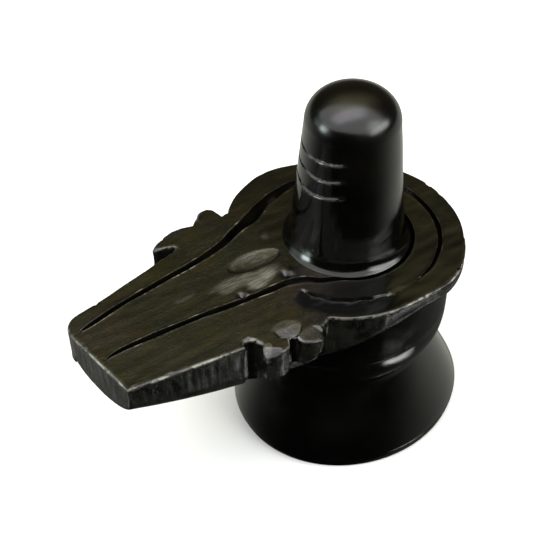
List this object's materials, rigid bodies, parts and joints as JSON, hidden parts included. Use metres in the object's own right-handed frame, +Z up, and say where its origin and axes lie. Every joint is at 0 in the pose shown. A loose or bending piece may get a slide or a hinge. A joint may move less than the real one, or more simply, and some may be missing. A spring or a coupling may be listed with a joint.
{
  "type": "shiva lingam",
  "caption": "Black stone shiva lingam: a domed lingam on a round plate with a grooved spout and side lugs, carried by a waisted oval pedestal.",
  "frame": {"origin": "on the flat underside of the pedestal, below the lingam's axis", "axes": "+Z up along the lingam's axis, the spout points along -X, and +Y is the side away from the open front lugs"},
  "size_m": [0.1073, 0.0635, 0.0994],
  "materials": {
    "black_stone": "near-black stone, turned surfaces polished, plate and spout left from the chisel"
  },
  "bodies": {
    "root": {"shiva_lingam": "black_stone"}
  },
  "joints": []
}
